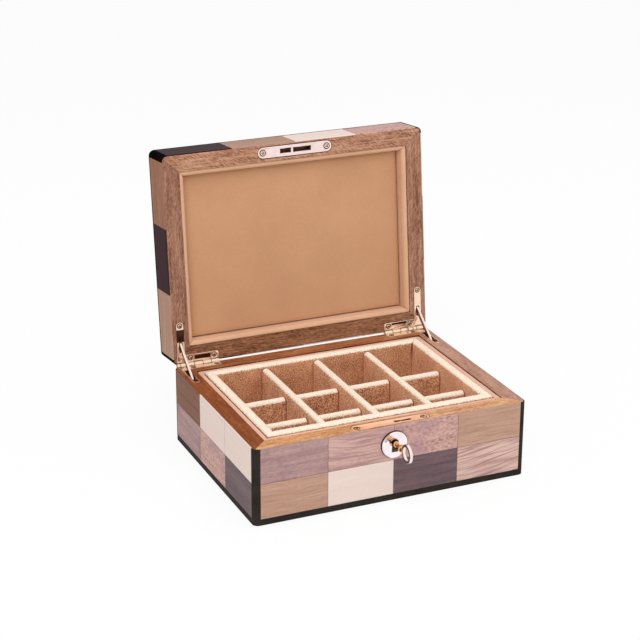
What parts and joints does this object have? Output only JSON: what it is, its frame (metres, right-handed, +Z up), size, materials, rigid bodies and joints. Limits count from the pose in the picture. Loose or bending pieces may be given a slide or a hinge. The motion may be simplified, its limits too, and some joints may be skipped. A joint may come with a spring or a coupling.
{
  "type": "cufflink box",
  "caption": "Hinged-lid cufflink box in lacquered block marquetry with a suede-lined divided insert, side-arm stop hinges and a hook lock with its key.",
  "frame": {"origin": "centre of the underside of the felt foot, on the surface that the box stands on", "axes": "+Z up, +X to the right seen from the front, -Y towards the front with the keyhole, +Y towards the hinges; the lid is stored open on its stops"},
  "size_m": [0.22, 0.2423, 0.2263],
  "materials": {
    "rim_wood": "satin lacquered sapele, quarter-sawn ripple grain",
    "carcass_board": "plain board",
    "black_edging": "gloss black lacquer",
    "veneer_mauve": "gloss lacquer",
    "veneer_tan": "gloss lacquer",
    "veneer_wavy": "gloss lacquer, wavy grain",
    "veneer_cream": "gloss lacquer",
    "veneer_rosy": "gloss lacquer, mottled",
    "veneer_aubergine": "gloss lacquer",
    "veneer_striped": "gloss lacquer, striped grain",
    "veneer_brown": "gloss lacquer",
    "suede": "soft pebbled suede",
    "lining": "fine woven fabric",
    "felt": "matt felt",
    "rose_gold": "polished rose-gold plating",
    "lock_steel": "brushed"
  },
  "bodies": {
    "base": {"base_bottom_board": "carcass_board", "base_corner_edges": "black_edging", "base_felt": "felt", "base_hinge_screws": "rose_gold", "base_liner": "lining", "base_plinth_strip": "black_edging", "base_rim_back": "rim_wood", "base_rim_front": "rim_wood", "base_rim_left": "rim_wood", "base_rim_right": "rim_wood", "base_veneer_aubergine": "veneer_aubergine", "base_veneer_brown": "veneer_brown", "base_veneer_cream": "veneer_cream", "base_veneer_mauve": "veneer_mauve", "base_veneer_rosy": "veneer_rosy", "base_veneer_striped": "veneer_striped", "base_veneer_tan": "veneer_tan", "base_veneer_wavy": "veneer_wavy", "base_wall_back": "carcass_board", "base_wall_front": "carcass_board", "base_wall_left": "carcass_board", "base_wall_right": "carcass_board", "escutcheon": "rose_gold", "hinge_base_leaf_left": "rose_gold", "hinge_base_leaf_right": "rose_gold", "hinge_pins": "rose_gold", "lock_case": "lock_steel", "lock_selvedge": "rose_gold", "selvedge_screws": "rose_gold", "tray_cross_dividers": "suede", "tray_floor": "suede", "tray_long_dividers": "suede", "tray_walls": "suede"},
    "lid": {"hinge_lid_leaf_left": "rose_gold", "hinge_lid_leaf_right": "rose_gold", "lid_corner_edges": "black_edging", "lid_hinge_screws": "rose_gold", "lid_liner": "lining", "lid_pad": "lining", "lid_pad_board": "carcass_board", "lid_rim_back": "rim_wood", "lid_rim_front": "rim_wood", "lid_rim_left": "rim_wood", "lid_rim_right": "rim_wood", "lid_top_board": "carcass_board", "lid_top_edging": "black_edging", "lid_veneer_aubergine": "veneer_aubergine", "lid_veneer_brown": "veneer_brown", "lid_veneer_cream": "veneer_cream", "lid_veneer_rosy": "veneer_rosy", "lid_veneer_tan": "veneer_tan", "lid_veneer_wavy": "veneer_wavy", "lid_walls": "carcass_board", "stay_rivets": "rose_gold", "strike_plate": "rose_gold", "strike_screws": "rose_gold"},
    "stay_left": {"stay_link_left": "rose_gold"},
    "stay_right": {"stay_link_right": "rose_gold"},
    "key": {"key": "rose_gold"},
    "lock_hook": {"lock_hook": "lock_steel"}
  },
  "joints": [
    {"name": "lid_hinge", "type": "hinge", "parent": "base", "child": "lid", "pos_m": [0, 0.0836, 0.06065], "axis": [1, 0, 0], "range_deg": [0, 96]},
    {"name": "stay_left_pivot", "type": "hinge", "parent": "lid", "child": "stay_left", "pos_m": [-0.103, 0.08688, 0.077], "axis": [1, 0, 0], "range_deg": [-48, 0]},
    {"name": "stay_right_pivot", "type": "hinge", "parent": "lid", "child": "stay_right", "pos_m": [0.103, 0.08688, 0.077], "axis": [1, 0, 0], "range_deg": [-48, 0]},
    {"name": "key_turn", "type": "hinge", "parent": "base", "child": "key", "pos_m": [0, -0.083, 0.047], "axis": [0, -1, 0], "range_deg": [0, 90]},
    {"name": "hook_turn", "type": "hinge", "parent": "base", "child": "lock_hook", "pos_m": [-0.0023, -0.0763, 0.0526], "axis": [0, -1, 0], "range_deg": [0, 63]}
  ],
  "couplings": [
    {"joint": "stay_left_pivot", "follows": "lid_hinge", "ratio": -0.5},
    {"joint": "stay_right_pivot", "follows": "lid_hinge", "ratio": -0.5},
    {"joint": "hook_turn", "follows": "key_turn", "ratio": 0.7}
  ]
}
